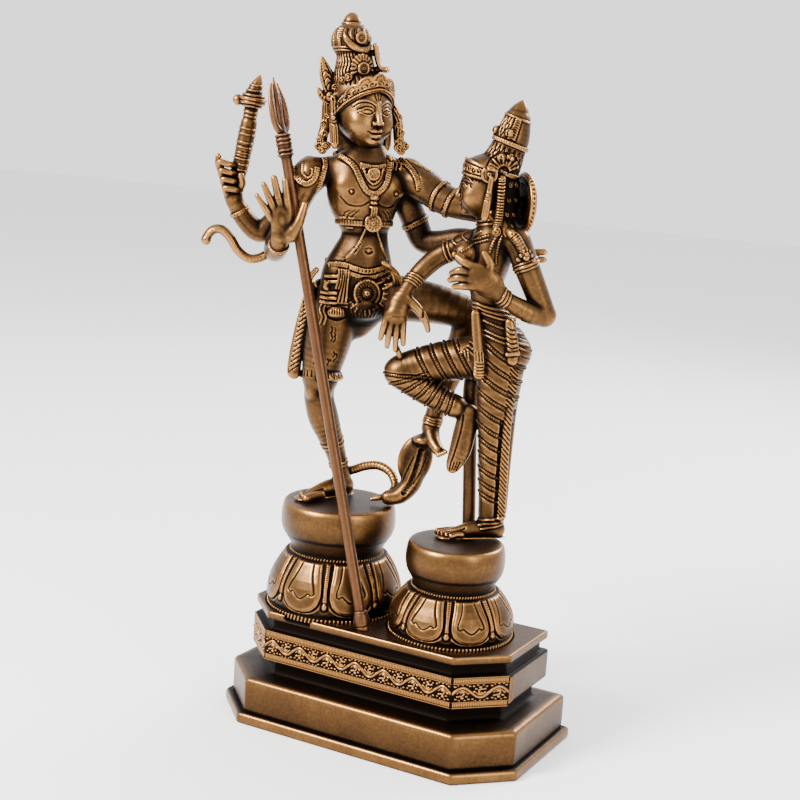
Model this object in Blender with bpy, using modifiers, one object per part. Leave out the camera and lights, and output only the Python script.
"""Divine couple in cast brass: a four-armed god and his consort, each on a lotus pedestal.

Both pedestals drop into round recesses of one stepped plinth, and a separate trident
leans through the god's front right hand with its foot on the plinth.
Lengths are metres, +Z is up, the front faces -Y, the origin is under the plinth's middle.
"""

import math

import bmesh
import bpy
from mathutils import Matrix, Vector

# Clearance between two castings that touch
GAP = 0.0003

# Plinth, from the floor up
FLANGE_WIDTH = 0.250
FLANGE_DEPTH = 0.132
FLANGE_HEIGHT = 0.0085
FLANGE_CORNER = 0.035
BOX_STEP_IN = 0.0045
BOX_HEIGHT = 0.0265
WAIST_STEP_IN = 0.019
WAIST_HEIGHT = 0.014
FRIEZE_STEP_OUT = 0.0075
FRIEZE_HEIGHT = 0.0225
GROOVE_STEP_IN = 0.005
GROOVE_HEIGHT = 0.0085
SLAB_STEP_OUT = 0.004
SLAB_THICKNESS = 0.006
EDGE_ROUND = 0.0012
RECESS_DEPTH = 0.003
RECESS_PLAY = 0.0012
FRIEZE_RELIEF = 0.0011
FRIEZE_BORDER = 0.0028
FRIEZE_WAVE = 0.021

# Lotus pedestals, each from its rope rim up to its drum
PEDESTAL_SPACING = 0.1005
COUPLE_SHIFT = -0.0015
COUPLE_SET_BACK = 0.0025
PETAL_COUNT = 8
PETAL_SWELL = 0.0030
ROPE_RADIUS = 0.0042
MALE_RIM_RADIUS = 0.0515
MALE_BELL_HEIGHT = 0.0450
MALE_WAIST_RADIUS = 0.0345
MALE_WAIST_HEIGHT = 0.0130
MALE_DRUM_RADIUS = 0.0435
MALE_DRUM_HEIGHT = 0.0250
FEMALE_RIM_RADIUS = 0.0465
FEMALE_BELL_HEIGHT = 0.0370
FEMALE_WAIST_RADIUS = 0.0297
FEMALE_WAIST_HEIGHT = 0.0104
FEMALE_DRUM_RADIUS = 0.0366
FEMALE_DRUM_HEIGHT = 0.0230

# Figures, whose forms are shares of their height
MALE_HEIGHT = 0.360
FEMALE_HEIGHT = 0.319
MALE_PARTS = 360.0
FEMALE_PARTS = 319.0
COUPLE_TURN = math.radians(28.0)
MALE_TORSO_TURN = math.radians(17.0)
MALE_HEAD_TURN = math.radians(32.0)
FEMALE_TURN = math.radians(-100.0)
FEMALE_HEAD_TURN = math.radians(-112.0)
SKIN_FINENESS = 300
MALE_KEEP = 0.0205
FEMALE_KEEP = 0.0195
HEAD_KEEP = 0.06

# Trident, whose foot stands on the plinth between the pedestals
ROD_RADIUS = 0.0040
ROD_LENGTH = 0.362
ROD_FOOT_FORWARD = 0.0376
ROD_FOOT_ASIDE = -0.0023
PRONG_RADIUS = 0.0024
PRONG_HEIGHT = 0.043
PRONG_SPREAD = 0.0072
KNOB_RADIUS = 0.0058
KNOB_HEIGHT = 0.010
COLLAR_RADIUS = 0.0055

SLAB_TOP = (FLANGE_HEIGHT + BOX_HEIGHT + WAIST_HEIGHT + FRIEZE_HEIGHT
            + GROOVE_HEIGHT + SLAB_THICKNESS)
RECESS_FLOOR = SLAB_TOP - RECESS_DEPTH
MALE_AXIS = Vector((COUPLE_SHIFT - PEDESTAL_SPACING / 2, COUPLE_SET_BACK, 0))
FEMALE_AXIS = Vector((COUPLE_SHIFT + PEDESTAL_SPACING / 2, COUPLE_SET_BACK, 0))
MALE_TOP = RECESS_FLOOR + GAP + MALE_BELL_HEIGHT + MALE_WAIST_HEIGHT + MALE_DRUM_HEIGHT
FEMALE_TOP = RECESS_FLOOR + GAP + FEMALE_BELL_HEIGHT + FEMALE_WAIST_HEIGHT + FEMALE_DRUM_HEIGHT


for old in list(bpy.data.objects):
    bpy.data.objects.remove(old, do_unlink=True)

statue = bpy.data.collections.new("divine_couple")
cutters = bpy.data.collections.new("cutters")
bpy.context.scene.collection.children.link(statue)
bpy.context.scene.collection.children.link(cutters)


def linear(hex_colour):
    """sRGB hex to a linear colour with alpha."""
    values = [int(hex_colour[i:i + 2], 16) / 255 for i in (0, 2, 4)]
    return [v / 12.92 if v <= 0.04045 else ((v + 0.055) / 1.055) ** 2.4 for v in values] + [1]


def metal(name, hex_colour, roughness):
    """A cast metal finish."""
    material = bpy.data.materials.new(name)
    material.use_nodes = True
    shader = material.node_tree.nodes["Principled BSDF"]
    shader.inputs["Base Color"].default_value = linear(hex_colour)
    shader.inputs["Metallic"].default_value = 1.0
    shader.inputs["Roughness"].default_value = roughness
    return material


def new_object(name, mesh, collection, material=None):
    """Link a mesh as an object."""
    body = bpy.data.objects.new(name, mesh)
    collection.objects.link(body)
    if material:
        mesh.materials.clear()
        mesh.materials.append(material)
    return body


def curve_mesh(curve, matrix=Matrix()):
    """A curve's surface as a closed bmesh-ready mesh, with its caps welded."""
    holder = bpy.data.objects.new("shape", curve)
    cutters.objects.link(holder)
    holder.matrix_world = matrix
    graph = bpy.context.evaluated_depsgraph_get()
    graph.update()
    mesh = bpy.data.meshes.new_from_object(holder.evaluated_get(graph))
    mesh.transform(matrix)
    bpy.data.objects.remove(holder)
    weld = bmesh.new()
    weld.from_mesh(mesh)
    bmesh.ops.remove_doubles(weld, verts=weld.verts, dist=1e-6)
    bmesh.ops.recalc_face_normals(weld, faces=weld.faces)
    weld.to_mesh(mesh)
    weld.free()
    return mesh


def smooth_path(points, steps):
    """Catmull-Rom samples through (vector, radius) pairs."""
    path = []
    count = len(points)
    for i in range(count - 1):
        before = points[max(i - 1, 0)]
        here, after = points[i], points[i + 1]
        beyond = points[min(i + 2, count - 1)]
        for k in range(steps):
            t = k / steps
            row = []
            for a, b, c, d in zip(before, here, after, beyond):
                row.append(0.5 * ((2 * b) + (c - a) * t + (2 * a - 5 * b + 4 * c - d) * t * t
                                  + (3 * b - a - 3 * c + d) * t ** 3))
            path.append(row)
    path.append(list(points[-1]))
    return path


def tube_mesh(points, steps=4, sides=3):
    """A round limb through (x, y, z, radius) rows with rounded ends."""
    rows = smooth_path(points, steps) if len(points) > 2 else [list(p) for p in points]
    curve = bpy.data.curves.new("limb", "CURVE")
    curve.dimensions = "3D"
    curve.bevel_depth = 1.0
    curve.bevel_resolution = sides
    curve.use_fill_caps = True
    spline = curve.splines.new("POLY")
    spline.points.add(len(rows) - 1)
    for point, row in zip(spline.points, rows):
        point.co = (row[0], row[1], row[2], 1)
        point.radius = max(row[3], 1e-4)
    return curve_mesh(curve)


def with_round_ends(points):
    """Add rows past both ends of a limb, so that it closes like a dome."""
    rows = [Vector(p) for p in points]
    out = []
    for end, inner in ((rows[0], rows[1]), (rows[-1], rows[-2])):
        away = (Vector(end[:3]) - Vector(inner[:3])).normalized()
        dome = []
        for reach, share in ((0.6, 0.8), (0.95, 0.3)):
            spot = Vector(end[:3]) + away * end[3] * reach
            dome.append((*spot, end[3] * share))
        out.append(dome)
    return [out[0][1], out[0][0], *[tuple(p) for p in points], out[1][0], out[1][1]]


def ball_mesh(centre, radii, turn=0.0, lean=0.0, roll=0.0):
    """An ellipsoid with half-axes (side, front, up), turned about Z, leant and rolled."""
    ball = bmesh.new()
    bmesh.ops.create_uvsphere(ball, u_segments=20, v_segments=12, radius=1.0)
    mesh = bpy.data.meshes.new("ball")
    ball.to_mesh(mesh)
    ball.free()
    place = (Matrix.Translation(centre) @ Matrix.Rotation(turn, 4, "Z")
             @ Matrix.Rotation(lean, 4, "X") @ Matrix.Rotation(roll, 4, "Y")
             @ Matrix.Diagonal((*radii, 1)))
    mesh.transform(place)
    return mesh


def keep_main_shell(mesh):
    """Drop the crumbs and closed pockets that fusing leaves, and keep the largest shell."""
    shape = bmesh.new()
    shape.from_mesh(mesh)
    loose = set(shape.verts)
    shells = []
    while loose:
        front = [loose.pop()]
        shell = list(front)
        while front:
            near = [edge.other_vert(v) for v in front for edge in v.link_edges]
            front = [v for v in set(near) if v in loose]
            loose.difference_update(front)
            shell += front
        shells.append(shell)
    shells.sort(key=len)
    crumbs = [v for shell in shells[:-1] for v in shell]
    bmesh.ops.delete(shape, geom=crumbs, context="VERTS")
    shape.to_mesh(mesh)
    shape.free()
    return mesh


def fuse(body, voxel, keep):
    """Turn overlapping closed shells into one closed skin, softened, with a share of its faces."""
    skin = body.modifiers.new("skin", "REMESH")
    skin.mode = "VOXEL"
    skin.voxel_size = voxel
    soften = body.modifiers.new("soften", "SMOOTH")
    soften.factor = 0.5
    soften.iterations = 1
    thin = body.modifiers.new("thin", "DECIMATE")
    thin.ratio = keep
    thin.use_collapse_triangulate = True
    graph = bpy.context.evaluated_depsgraph_get()
    graph.update()
    casting = bpy.data.meshes.new_from_object(body.evaluated_get(graph))
    body.modifiers.clear()
    body.data = keep_main_shell(casting)
    return body


class Sculptor:
    """Collects the forms of one figure in its own parts, and fuses them into one casting."""

    def __init__(self, axis, stands_at, size, parts):
        scale = size / parts
        self.height = size
        self.place = (Matrix.Translation(axis + Vector((0, 0, stands_at + GAP)))
                      @ Matrix.Rotation(COUPLE_TURN, 4, "Z") @ Matrix.Scale(scale, 4))
        self.forms = bmesh.new()

    def take(self, mesh):
        self.forms.from_mesh(mesh)
        bpy.data.meshes.remove(mesh)

    def limb(self, *points, steps=4, squash=None):
        mesh = tube_mesh(with_round_ends(points), steps)
        if squash:
            turn, keep = squash
            middle = Vector(points[len(points) // 2][:3])
            into = Matrix.Translation(middle) @ Matrix.Rotation(turn, 4, "Z")
            mesh.transform(into @ Matrix.Diagonal((1, keep, 1, 1)) @ into.inverted())
        self.take(mesh)

    def ball(self, centre, radii, turn=0.0, lean=0.0, roll=0.0):
        self.take(ball_mesh(centre, radii, turn, lean, roll))

    def strand(self, radius, *points):
        """A cord of one thickness."""
        self.limb(*[(*p, radius) for p in points])

    def ring(self, centre, across, along, radius, turn=0.0, lean=0.0, arc=(0, 360)):
        """A cord round an ellipse with half-axes across and along, over an arc in degrees."""
        place = (Matrix.Translation(centre) @ Matrix.Rotation(turn, 4, "Z")
                 @ Matrix.Rotation(lean, 4, "X"))
        rows = []
        for k in range(19):
            angle = math.radians(arc[0] + (arc[1] - arc[0]) * k / 18)
            spot = place @ Vector((across * math.cos(angle), along * math.sin(angle), 0))
            rows.append((*spot, radius))
        self.take(tube_mesh(rows, steps=1))

    def spot(self, x, y, z):
        return self.place @ Vector((x, y, z))

    def cast(self, name, material, keep):
        """Fuse every form into one closed skin with few faces."""
        mesh = bpy.data.meshes.new(name)
        self.forms.transform(self.place)
        self.forms.to_mesh(mesh)
        self.forms.free()
        return fuse(new_object(name, mesh, statue, material), self.height / SKIN_FINENESS, keep)


def tier_mesh(width, depth, corner, low, high, rounding=EDGE_ROUND):
    """A flat slab with its two front corners cut off, from height low to high."""
    round_off = min(rounding, (high - low) / 3)
    x, y = width / 2 - round_off, depth / 2 - round_off
    outline = [(-x, y), (-x, -y + corner), (-x + corner, -y), (x - corner, -y),
               (x, -y + corner), (x, y)]
    curve = bpy.data.curves.new("tier", "CURVE")
    curve.dimensions = "2D"
    curve.fill_mode = "BOTH"
    curve.extrude = (high - low) / 2 - round_off
    curve.bevel_depth = round_off
    curve.bevel_resolution = 0
    spline = curve.splines.new("POLY")
    spline.points.add(len(outline) - 1)
    spline.use_cyclic_u = True
    for point, (px, py) in zip(spline.points, outline):
        point.co = (px, py, 0, 1)
    return curve_mesh(curve, Matrix.Translation((0, 0, (low + high) / 2)))


def join_on(body, name, mesh, operation="UNION"):
    """Add a mesh to a body, or cut it out, by an exact Boolean."""
    tool = new_object(name, mesh, cutters)
    tool.hide_render = True
    tool.display_type = "WIRE"
    step = body.modifiers.new(name, "BOOLEAN")
    step.operation = operation
    step.solver = "EXACT"
    step.object = tool


def drum_cutter(axis, radius, low, high):
    """A cylinder that cuts a round recess."""
    shape = bmesh.new()
    bmesh.ops.create_cone(shape, cap_ends=True, segments=48, radius1=radius, radius2=radius,
                          depth=high - low)
    mesh = bpy.data.meshes.new("recess")
    shape.to_mesh(mesh)
    shape.free()
    mesh.transform(Matrix.Translation(axis + Vector((0, 0, (low + high) / 2))))
    return mesh


def vine_rows(length, height, wave, radius):
    """The stem of a running scroll along X, centred, as rows for a tube."""
    turns = max(2, round(length / wave))
    count = turns * 8
    rows = []
    for k in range(count + 1):
        t = k / count
        rows.append((length * (t - 0.5), 0, height / 2 * math.sin(2 * math.pi * turns / 2 * t), radius))
    return rows


def curl_rows(x, z, size, flip, radius):
    """One leaf curl of the scroll, a short spiral."""
    rows = []
    for k in range(7):
        angle = flip * (math.pi * 1.5 * k / 6 + math.pi / 2)
        reach = size * (1 - 0.55 * k / 6)
        rows.append((x + reach * math.cos(angle), 0, z + reach * math.sin(angle), radius))
    return rows


def make_plinth(material):
    """Stepped plinth with a scroll frieze on its front and a recess for each pedestal."""
    box = FLANGE_WIDTH - 2 * BOX_STEP_IN
    waist = box - 2 * WAIST_STEP_IN
    frieze = waist + 2 * FRIEZE_STEP_OUT
    groove = frieze - 2 * GROOVE_STEP_IN
    slab = groove + 2 * SLAB_STEP_OUT
    narrower = FLANGE_WIDTH - FLANGE_DEPTH
    level = 0.0
    body = None
    bite = EDGE_ROUND / 2
    for name, width, tall in (("flange", FLANGE_WIDTH, FLANGE_HEIGHT), ("box", box, BOX_HEIGHT),
                              ("waist", waist, WAIST_HEIGHT), ("frieze", frieze, FRIEZE_HEIGHT),
                              ("groove", groove, GROOVE_HEIGHT), ("slab", slab, SLAB_THICKNESS)):
        corner = FLANGE_CORNER * width / FLANGE_WIDTH
        narrow_tier = name in ("waist", "groove")
        low = level - (bite * 2 if narrow_tier else 0)
        high = level + tall + (bite * 2 if narrow_tier else 0)
        mesh = tier_mesh(width, width - narrower, corner, low, high,
                         EDGE_ROUND / 4 if narrow_tier else EDGE_ROUND)
        if name == "box":
            mesh.transform(Matrix.Translation((0, 0, -bite)))
        if body is None:
            body = new_object("plinth", mesh, statue, material)
        else:
            join_on(body, name, mesh)
        if name == "frieze":
            frieze_low, frieze_front, frieze_corner = level, -(width - narrower) / 2, corner
        level += tall
    run = frieze - 2 * frieze_corner
    middle = frieze_low + FRIEZE_HEIGHT / 2
    band = FRIEZE_HEIGHT / 2 - FRIEZE_BORDER / 2
    relief = bmesh.new()
    field = FRIEZE_HEIGHT - 2.6 * FRIEZE_BORDER
    stem = FRIEZE_RELIEF
    shapes = [vine_rows(run - 4 * stem, field * 0.62, FRIEZE_WAVE, stem)]
    turns = max(2, round((run - 4 * stem) / FRIEZE_WAVE))
    for k in range(turns):
        side = -1 if k % 2 else 1
        x = (run - 4 * stem) * ((k + 0.5) / turns - 0.5)
        shapes.append(curl_rows(x, -side * field * 0.12, field * 0.27, side, stem * 0.85))
    for side in (-1, 1):
        shapes.append([(-run / 2 + stem, 0, side * band, FRIEZE_BORDER / 3),
                       (run / 2 - stem, 0, side * band, FRIEZE_BORDER / 3)])
    for rows in shapes:
        piece = tube_mesh(rows, steps=1, sides=0)
        relief.from_mesh(piece)
        bpy.data.meshes.remove(piece)
    mesh = bpy.data.meshes.new("scroll")
    relief.transform(Matrix.Translation((0, frieze_front, middle)))
    relief.to_mesh(mesh)
    relief.free()
    join_on(body, "scroll", mesh)
    body.modifiers["scroll"].use_self = True
    for name, axis, radius in (("male_recess", MALE_AXIS, MALE_RIM_RADIUS),
                               ("female_recess", FEMALE_AXIS, FEMALE_RIM_RADIUS)):
        mesh = drum_cutter(axis, radius + RECESS_PLAY, RECESS_FLOOR, SLAB_TOP + FLANGE_HEIGHT)
        join_on(body, name, mesh, "DIFFERENCE")
    return body


def make_pedestal(name, material, axis, rim, bell, waist, waist_high, drum, drum_high):
    """A lotus pedestal: rope rim, petalled bell, rope waist and a plain drum, turned about Z."""
    edge = ROPE_RADIUS / 2
    base = RECESS_FLOOR + GAP
    drum_low = base + bell + waist_high
    top = drum_low + drum_high
    profile = [(0, top), (drum - edge, top), (drum - edge / 4, top - edge), (drum, top - drum_high * 0.45),
               (drum - edge, drum_low), (waist, drum_low - waist_high * 0.55),
               (waist + edge / 2, base + bell + edge), (waist + edge, base + bell)]
    foot = base + 2 * ROPE_RADIUS
    for k in range(1, 5):
        t = k / 5
        profile.append((waist + (rim - edge - waist) * math.sin(t * math.pi / 2),
                        base + bell - (base + bell - foot) * (1 - math.cos(t * math.pi / 2))))
    profile += [(rim - edge, foot), (rim, base + ROPE_RADIUS * 1.4),
                (rim, base + ROPE_RADIUS * 0.6), (rim - edge, base), (0, base)]
    mesh = bpy.data.meshes.new(name)
    mesh.from_pydata([(x, 0, z) for x, z in profile], [(i, i + 1) for i in range(len(profile) - 1)], [])
    body = new_object(name, mesh, statue, material)
    turned = body.modifiers.new("turned", "SCREW")
    turned.steps = PETAL_COUNT * 4
    turned.render_steps = turned.steps
    turned.use_merge_vertices = True
    turned.merge_threshold = 0.00001
    graph = bpy.context.evaluated_depsgraph_get()
    graph.update()
    round_mesh = bpy.data.meshes.new_from_object(body.evaluated_get(graph))
    body.modifiers.remove(turned)
    for vertex in round_mesh.vertices:
        x, y, z = vertex.co
        reach = math.hypot(x, y)
        if foot < z < base + bell - edge and reach > edge:
            lobe = abs(math.sin(PETAL_COUNT / 2 * math.atan2(y, x))) ** 0.6
            rise = math.sin(math.pi * (z - foot) / (base + bell - foot))
            vertex.co = (x * (1 + PETAL_SWELL * lobe * rise / reach),
                         y * (1 + PETAL_SWELL * lobe * rise / reach), z)
    round_mesh.transform(Matrix.Translation(axis))
    body.data = round_mesh
    round_mesh.materials.clear()
    round_mesh.materials.append(material)
    return body


def god_legs(god):
    god.limb((-9, 2, 152, 19), (-14, 0, 122, 17.5), (-19, -2, 96, 13), (-19.5, 0, 86, 11.3),
             (-19, 1, 74, 11), (-15, 3, 60, 11.4), (-9, 7, 46, 9), (-3, 12, 27, 7.4), (0, 14, 10, 7))
    god.limb((6, 19, 6.6, 6.2), (-4, 10, 7, 6.6), (-15, 1, 5.4, 5.4), (-27, -8, 4.4, 4))
    god.limb((4, 18, 2.4, 2.2), (-12, 3, 2.4, 2.2), (-28, -8, 2.4, 2.2))
    god.limb((17, 6, 156, 18), (40, 2, 156, 16.5), (62, -1, 153, 14.5), (86, 0, 149, 12))
    god.limb((88, 1, 148, 11.5), (84, 3, 128, 11), (77, 3, 108, 9.5), (69, -1, 80, 7.4),
             (65, -5, 60, 6.4))
    god.limb((65, -5, 58, 6.2), (69, -13, 51, 5), (73, -20, 46, 3.8))
    god.ring((-19.5, -1, 95), 14.6, 14, 1.8)
    god.ring((-13, 4.5, 55), 11.8, 11.6, 1.1)


def god_torso(god):
    turn = MALE_TORSO_TURN
    god.limb((2.8, 4, 143, 19), (2.8, 4, 154, 27), (3, 3, 167, 28.5), (4.5, 3, 182, 23.5),
             (6, 3, 196, 18.5), (6, 3, 206, 17.4), (4.5, 2, 220, 23), (2.8, 1, 234, 29),
             (3, 1, 246, 27), (6, 2, 254, 17), (8.5, 2, 262, 8.5), squash=(turn, 0.70))
    for x in (-9, 16):
        god.ball((x, -12.5, 237), (13.5, 8.5, 11), turn)
    god.limb((9, 2, 250, 9.6), (7, 1, 270, 9.2))
    god.limb((8, 3, 253, 8.5), (-34, -6, 246, 10))
    god.limb((8, 3, 253, 8.5), (36, 8, 247, 12))
    god.ring((7.5, -1, 254), 13.5, 12, 2.2, turn, math.radians(22))
    god.strand(2.0, (-5, -15, 250), (1, -20.5, 237), (9, -22, 230), (17, -20, 236), (21, -13, 250))
    god.strand(2.6, (10.5, -20, 229), (10.5, -17, 212))
    god.ring((5.5, 2, 211), 20, 15, 2.3, turn)
    god.ball((10.5, -13.5, 211), (5.2, 3.4, 5.2), turn)
    god.strand(1.8, (7, -13, 207), (0, -14, 197), (-11, -15, 184))
    god.strand(1.8, (14, -12, 207), (17, -12, 196), (22, -12, 184))
    god.limb((-40, -10, 246, 4), (-36, -13, 232, 5), (-30, -14, 224, 4))
    god.strand(2.6, (-24, -12, 250), (-27, -14, 236), (-30, -13, 222))


def god_skirt(god):
    turn = MALE_TORSO_TURN
    god.ring((4, 3, 180), 24.5, 18.5, 2.6, turn, math.radians(6))
    god.ring((3.5, 3, 170), 29, 21, 2.8, turn, math.radians(6))
    god.ring((3, 3, 158), 30, 21.5, 2.2, turn, math.radians(6))
    god.ball((11.5, -19, 161), (10.2, 3.6, 10.2), turn)
    god.ball((12, -6, 150), (14, 13, 12.5), turn)
    god.limb((-8, -17, 180, 3.6), (-11, -19.5, 162, 4), (-13, -19, 146, 6), squash=(turn, 0.7))
    god.limb((-26, 1, 162, 5), (-32, 1, 134, 5), (-36.5, 0, 112, 5.6), (-37.5, -1, 98, 6),
             squash=(0.5, 0.6))
    god.limb((-28, -1, 112, 8), (-30, -2, 99, 8))
    god.limb((30, 2, 172, 5), (34, -8, 160, 4))


def god_left_arms(god):
    god.limb((34, 8, 245, 13.2), (50, 2, 238, 12.6), (66, -6, 230, 11.6), (88, -12, 226, 10),
             (104, -7, 222, 8.2), (113, -4, 214, 5.6))
    god.ring((64, -5, 231), 12.8, 12.8, 2, 0, 0)
    god.limb((32, 14, 232, 10), (42, 17, 212, 9.6), (51, 15, 198, 9), (62, 10, 199, 8.4),
             (80, 4, 203, 7.8), (100, -5, 199, 7), (116, -10, 194, 6), (123, -16, 192, 5))
    god.limb((121, -14, 193, 4.4), (129, -22, 198, 3.2), (137, -24, 199, 2.8))
    god.limb((121, -14, 191, 4.4), (130, -22, 184, 3.2), (132, -23, 174, 2.8))


def god_right_arms(god):
    god.ball((-35, -8, 243), (11.5, 11.5, 12))
    god.limb((-35, -9, 242, 10.5), (-44, -4, 222, 9.8), (-54, 5, 200, 9), (-59, 8, 190, 8.6))
    god.limb((-59, 8, 190, 8.4), (-57, -6, 186, 8), (-54, -17, 190, 7), (-53, -23, 198, 6.4))
    god.ball((-52, -24, 206), (12.5, 5.4, 15), 0, 0, math.radians(-15))
    for x, z, tip_x, tip_z in ((-52, 218, -57, 240), (-56, 216, -63.5, 236),
                               (-60, 212, -68.5, 229), (-62, 206, -72, 220)):
        god.limb((x, -24, z, 3.3), ((x + tip_x) / 2, -25, (z + tip_z) / 2, 3.1),
                 (tip_x, -23, tip_z, 2.7))
    god.limb((-45, -25, 197, 5), (-39, -26, 208, 3.8), (-36, -25, 223, 2.8))
    god.limb((-33, 0, 240, 10), (-48, 11, 222, 9), (-64, 19, 204, 8.5), (-74, 21, 196, 8.3),
             (-84, 19, 206, 7.8), (-92, 17, 218, 6.8))
    god.ball((-95, 15, 230), (9, 6.5, 11), 0, 0, math.radians(10))
    god.limb((-100, 13, 232, 3.6), (-103, 11, 243, 3), (-104, 11, 250, 2.6))
    god.limb((-92, 11, 236, 3.4), (-96, 8, 241, 3), (-99, 9, 234, 2.8))
    god.limb((-92, 16, 226, 5.5), (-88, 17, 246, 6.4), (-84, 18, 276, 6.6), steps=3)
    god.limb((-84, 18, 276, 5.6), (-82, 18, 292, 5.6), (-79, 18, 304, 4.6), (-77.5, 18, 309, 2.4))
    god.limb((-82.4, 18, 293, 8.6), (-81.6, 18, 296.5, 8.6))
    god.limb((-82.4, 18, 292, 3), (-92, 18, 292.5, 4))
    god.strand(3.6, (-66, 2, 185), (-75, 1, 178), (-84, 0, 182), (-92, 0, 194), (-102, 0, 199.5),
               (-110, 0, 192))
    god.ring((-44, -4, 222), 10.8, 10.8, 1.8)


def god_head(god):
    turn = MALE_HEAD_TURN
    ahead = Vector((math.sin(turn), -math.cos(turn), 0))
    aside = Vector((math.cos(turn), math.sin(turn), 0))
    centre = Vector((1, -4, 291))

    def on_face(side, front, up):
        return centre + aside * side + ahead * front + Vector((0, 0, up))

    god.ball(centre, (19.5, 22, 26), turn)
    god.ball(on_face(0, 6, -14), (13, 13, 11.5), turn)
    god.limb((*on_face(0, 20.6, 4), 2.0), (*on_face(0, 23, -5), 2.6))
    god.limb((*on_face(-4, 19, -13.5), 1.6), (*on_face(0, 20.6, -13.5), 2.2),
             (*on_face(4, 19, -13.5), 1.6))
    for side in (-1, 1):
        god.ball(on_face(side * 8, 18.6, 2), (4, 2.6, 2.2), turn)
        god.limb((*on_face(side * 19.5, 1, 8), 2.6), (*on_face(side * 20, 1, -12), 3.4),
                 (*on_face(side * 20, 1, -22), 2.6))
        god.limb((*on_face(side * 19, -9, 12), 4.6), (*on_face(side * 22.5, -9, -8), 4.8),
                 (*on_face(side * 24, -8, -28), 4.4))
    god.limb((*on_face(0, -18, 10), 10), (*on_face(0, -19, -12), 11), (*on_face(0, -16, -36), 9))
    god.ring(centre + Vector((-1, 1, 15)), 19.2, 21, 3.2, turn, math.radians(-14))
    for side in (-13, -7, 0, 7, 13):
        god.ball(on_face(side, 20.5 - side * side / 26, 22), (3.2, 1.8, 4), turn)
    god.limb((-4.5, 0, 308, 17.5), (-6, 0, 322, 15), (-8, 1, 332, 12.6), (-9.5, 2, 343, 13.6),
             (-11, 2, 350, 9), (-12, 3, 355, 5))
    god.limb((-12, 3, 352, 6.5), (-12.3, 3, 357, 2.8))
    for lift, reach in ((316, 16.8), (327, 14.6), (338, 14)):
        god.ring((-4.5 - (lift - 308) * 0.15, 1, lift), reach, reach, 1.8)
    god.limb((-18, -2, 306, 4.5), (-25, -2, 304, 3.6), (-32, -2, 307, 1.9))
    god.limb((-19, 0, 311, 4.5), (-26, 0, 318, 4), (-30.5, 0, 329, 1.9))
    god.limb((9, 2, 318, 3), (14, 2, 327, 2.6), (10, 2, 338, 1.8))
    god.ball((-2, -14, 324), (6, 3.4, 8), turn)


def make_god(material, rod_foot):
    """The four-armed god with the cobra that carries his raised foot."""
    god = Sculptor(MALE_AXIS, MALE_TOP, MALE_HEIGHT, MALE_PARTS)
    god_legs(god)
    god_torso(god)
    god_skirt(god)
    god_left_arms(god)
    god_right_arms(god)
    god_head(god)
    god.limb((37, -6, 6.4, 6), (46, -6, 9, 6.6), (52, -4, 19, 7), (53, -3, 31, 7.4),
             (56, -3, 43, 8), (62, -6, 51, 7))
    god.ball((54.5, -5, 35), (13.5, 5.2, 19), 0, 0, math.radians(10))
    god.strand(3.4, (8, 16, 14), (18, 18, 22), (33, 14, 23), (41, 6, 14), (35, -2, 7), (29, -5, 4))
    grip = god.spot(-41.5, -18.5, 206)
    body = god.cast("male_figure", material, keep=MALE_KEEP)
    along = (grip - rod_foot).normalized()
    bore = bpy.data.curves.new("bore", "CURVE")
    bore.dimensions = "3D"
    bore.bevel_depth = ROD_RADIUS + GAP
    bore.bevel_resolution = 3
    bore.use_fill_caps = True
    spline = bore.splines.new("POLY")
    spline.points.add(1)
    spline.points[0].co = (*(rod_foot + along * KNOB_HEIGHT), 1)
    spline.points[1].co = (*(rod_foot + along * (ROD_LENGTH - COLLAR_RADIUS)), 1)
    join_on(body, "rod_bore", curve_mesh(bore), "DIFFERENCE")
    return along


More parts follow.
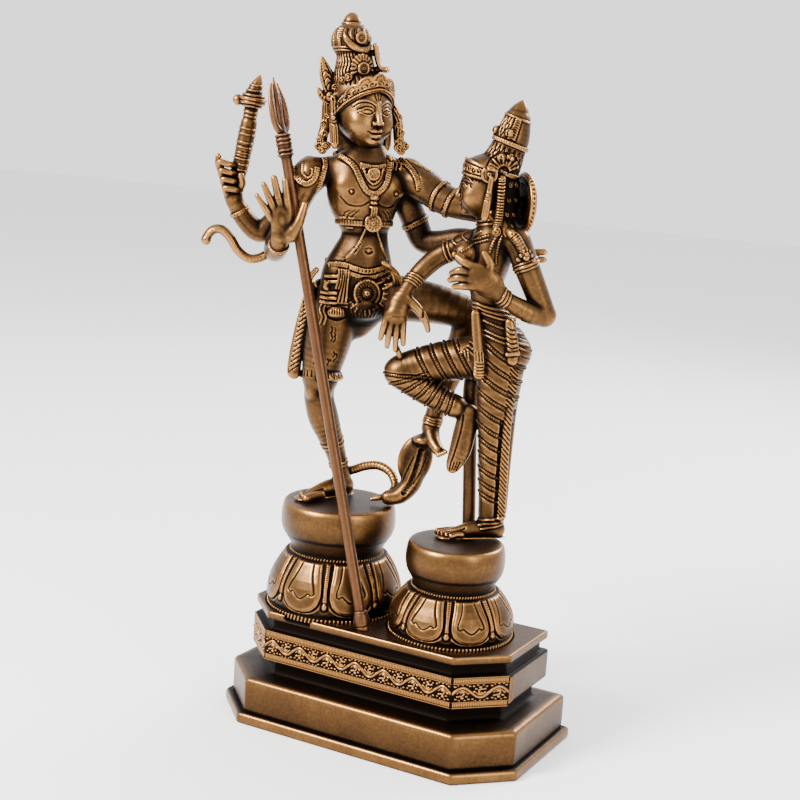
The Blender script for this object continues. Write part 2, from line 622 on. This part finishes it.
def make_goddess(material):
    """The consort, standing on her left leg beside a short prop, her right knee raised."""
    lady = Sculptor(FEMALE_AXIS, FEMALE_TOP, FEMALE_HEIGHT, FEMALE_PARTS)
    turn = FEMALE_TURN
    lady.limb((22, 3, 128, 17), (22, 3, 140, 19.5), (20, 3, 152, 17.5), (12, 3, 166, 13.6),
              (8, 3, 177, 12.6), (7, 3, 190, 14.5), (9, 3, 206, 18), (10, 3, 216, 18),
              (8, 3, 225, 12), (5, 5, 233, 6.5), squash=(turn, 0.82))
    lady.ball((-9.5, -5, 210), (9.6, 9.6, 9.4))
    lady.ball((-7.5, 12, 209), (9.6, 9.6, 9.4))
    lady.ball((31, 4, 140), (13.5, 17, 14))
    lady.limb((6, 5, 226, 6.8), (2, 6, 246, 6.4))
    lady.ring((6, 4, 228), 10, 12, 2)
    lady.strand(1.8, (-4, -9, 221), (-14, 2, 216), (-6, 16, 219))
    lady.ball((-1, 6, 256), (15.5, 17.5, 21.5), FEMALE_HEAD_TURN)
    lady.ring((2, 6, 267), 14.6, 16.4, 2.4, FEMALE_HEAD_TURN, math.radians(-20))
    lady.limb((6, 6, 266, 15), (12, 6, 282, 12.8), (16, 6, 297, 10.8), (19.5, 6, 306, 8.4),
              (22, 6, 313, 4.6), (23, 6, 316, 2))
    lady.ring((13.5, 6, 286), 13, 13, 1.8, 0, math.radians(0))
    lady.ball((29, 9, 246), (2.8, 22, 22.5), math.radians(17))
    lady.limb((10, 7, 250, 9), (28, 9, 246, 4))
    lady.limb((11, -5, 262, 4), (13, -6, 246, 4), (16, -7, 230, 4.4), (25, -9, 226, 4))
    lady.limb((5, -11, 262, 3.4), (5, -10, 240, 3.4))
    lady.limb((1, 15, 219, 8.4), (-13, 20, 212, 8), (-27, 22, 204, 7.6), (-38, 19, 194, 7),
              (-46, 15, 184, 5.8), (-50, 11, 176, 5))
    lady.ring((-43.5, 16.5, 187), 7.4, 7.4, 1.4)
    lady.ball((-53, 9, 169), (7.6, 5, 13), 0, 0, math.radians(14))
    for x, tip_x, tip_z in ((-58, -64, 144), (-55.5, -59, 138), (-52, -53.5, 136), (-49, -48, 140)):
        lady.limb((x, 9, 162, 2.8), ((x + tip_x) / 2, 8, (160 + tip_z) / 2, 2.7), (tip_x, 9, tip_z, 2.3))
    lady.limb((-47, 9, 172, 4), (-38, 8, 165, 3.2), (-32, 9, 154, 2.6))
    lady.limb((-54, 9, 140, 2), (-49, 15, 128, 2.4))
    lady.limb((26, -11, 221, 9.4), (34, -12, 203, 9), (43, -11, 184, 8.4), (49, -10, 170, 8))
    lady.limb((48, -11, 169, 7.6), (36, -17, 173, 7.4), (21, -22, 181, 5.8), (11, -25, 189, 5.4))
    lady.ring((31, -12, 208), 9.6, 9.6, 1.8)
    lady.ball((7, -25, 192), (11.5, 4.6, 9), 0, 0, math.radians(-30))
    lady.limb((0, -26, 199, 3), (-13, -23, 208, 2.4))
    lady.limb((-2, -26, 192, 3), (-15, -22, 199, 2.4))
    lady.limb((-2, -25, 187, 3), (-12, -20, 189, 2.4))
    lady.limb((6, -25, 198, 3), (3, -25, 213, 2.4))
    lady.limb((22, 1, 134, 17.5), (21.5, 0, 115, 16), (21.5, 3, 95, 13.5), (22, 5, 78, 12.2),
              (22.5, 8, 54, 10.8), (23.5, 11, 34, 9.6), (24, 12, 17, 9))
    lady.limb((24, 12, 22, 7.4), (25, 13, 9, 7))
    lady.limb((29, 14, 6.4, 6), (15, 11, 6.6, 6), (0, 7, 4.8, 4.6), (-10, 4.5, 3.8, 3.4))
    lady.limb((27, 13, 2.4, 2.2), (8, 9, 2.4, 2.2), (-11, 5, 2.4, 2.2))
    lady.limb((14, 11, 136, 16.5), (-10, 17, 131, 15), (-30, 19, 126, 13.6), (-46, 20, 121, 12),
              (-52, 20, 119, 10))
    lady.limb((-49, 19, 118, 11.6), (-32, 17, 108, 10.6), (-18, 15, 101, 9.2), (-7, 14, 96, 8))
    lady.limb((1, 12, 93, 7), (-1, 11, 80, 6.6), (-4, 10, 64, 5.6), (-7, 10, 52, 4))
    lady.limb((6, 22, 134, 6), (3, 25, 108, 5.6), (6, 26, 60, 5), (9, 25, 9.4, 5))
    lady.limb((31, -8, 132, 3.6), (28, -9, 108, 3.4), (27.5, -5, 76, 3.2), (29, 0, 44, 3),
              (30, 4, 18, 3))
    lady.ring((9, 3, 172), 13.4, 12.8, 2)
    lady.ring((18, 3, 155), 17.6, 17.6, 2.2, 0, math.radians(4))
    lady.limb((-1, -9, 168, 3), (3, -13, 150, 3.2), (5.5, -15, 126, 3.4))
    lady.limb((26, -14, 163, 3.6), (29, -16, 146, 4.4))
    for lift, shift, reach in ((118, 0, 16.6), (102, 2, 15), (86, 4, 13.4), (70, 6, 12.4), (54, 8, 11.4), (40, 10, 10.6)):
        lady.ring((21.6, shift, lift), reach, reach, 1.1, 0, math.radians(-12))
    for along, lift, reach in ((-6, 130, 15.6), (-20, 129, 14.8), (-34, 125, 13.8)):
        place = Vector((along, 17.5, lift))
        rows = []
        for k in range(13):
            angle = 2 * math.pi * k / 12
            rows.append((along + 4 * math.cos(angle), place.y + reach * math.sin(angle),
                         lift + reach * math.cos(angle), 1.1))
        lady.take(tube_mesh(rows, steps=1))
    return lady.cast("female_figure", material, keep=FEMALE_KEEP)


def make_trident(material, rod_foot, along):
    """Rod with a knob foot cut level, a collar and three blades, in one piece."""
    aim = along.to_track_quat("Z", "Y").to_matrix().to_4x4()
    place = Matrix.Translation(rod_foot) @ aim
    tip = ROD_LENGTH + PRONG_HEIGHT
    rod = tube_mesh([(0, 0, -KNOB_HEIGHT, KNOB_RADIUS * 0.8), (0, 0, KNOB_HEIGHT * 0.5, KNOB_RADIUS),
                     (0, 0, KNOB_HEIGHT, KNOB_RADIUS * 0.95), (0, 0, KNOB_HEIGHT * 1.2, ROD_RADIUS),
                     (0, 0, ROD_LENGTH - COLLAR_RADIUS, ROD_RADIUS)], steps=1, sides=2)
    rod.transform(place)
    body = new_object("trident", rod, statue, material)
    blades = [[(0, 0, ROD_LENGTH - COLLAR_RADIUS * 2, COLLAR_RADIUS),
               (0, 0, ROD_LENGTH, COLLAR_RADIUS)],
              [(0, 0, ROD_LENGTH - COLLAR_RADIUS, PRONG_RADIUS * 1.5),
               (0, 0, tip - PRONG_HEIGHT * 0.3, PRONG_RADIUS * 1.4), (0, 0, tip, PRONG_RADIUS / 2)]]
    for side in (-1, 1):
        blades.append([(0, 0, ROD_LENGTH - COLLAR_RADIUS / 2, PRONG_RADIUS),
                       (side * PRONG_SPREAD, 0, ROD_LENGTH + PRONG_HEIGHT * 0.3, PRONG_RADIUS),
                       (side * PRONG_SPREAD * 0.9, 0, ROD_LENGTH + PRONG_HEIGHT * 0.6, PRONG_RADIUS),
                       (side * PRONG_SPREAD * 0.5, 0, tip - PRONG_HEIGHT * 0.12, PRONG_RADIUS / 2)])
    shapes = bmesh.new()
    for rows in blades:
        mesh = tube_mesh(rows, steps=2, sides=2)
        shapes.from_mesh(mesh)
        bpy.data.meshes.remove(mesh)
    shapes.transform(place)
    mesh = bpy.data.meshes.new("head")
    shapes.to_mesh(mesh)
    shapes.free()
    head = fuse(new_object("head", mesh, cutters), PRONG_RADIUS / 4, HEAD_KEEP)
    join_on(body, "blades", head.data.copy())
    bpy.data.objects.remove(head)
    low = rod_foot.z
    mesh = drum_cutter(Vector((rod_foot.x, rod_foot.y, 0)), KNOB_HEIGHT * 2, low - KNOB_HEIGHT * 3, low)
    join_on(body, "level_foot", mesh, "DIFFERENCE")
    return body


brass = metal("aged_brass", "9A6B36", 0.38)
copper = metal("copper_brown_brass", "85583A", 0.42)
foot = Vector((ROD_FOOT_ASIDE, -ROD_FOOT_FORWARD, SLAB_TOP + GAP))
make_plinth(brass)
make_pedestal("male_lotus_pedestal", brass, MALE_AXIS, MALE_RIM_RADIUS, MALE_BELL_HEIGHT,
              MALE_WAIST_RADIUS, MALE_WAIST_HEIGHT, MALE_DRUM_RADIUS, MALE_DRUM_HEIGHT)
make_pedestal("female_lotus_pedestal", brass, FEMALE_AXIS, FEMALE_RIM_RADIUS, FEMALE_BELL_HEIGHT,
              FEMALE_WAIST_RADIUS, FEMALE_WAIST_HEIGHT, FEMALE_DRUM_RADIUS, FEMALE_DRUM_HEIGHT)
rod_line = make_god(brass, foot)
make_goddess(brass)
make_trident(copper, foot, rod_line)
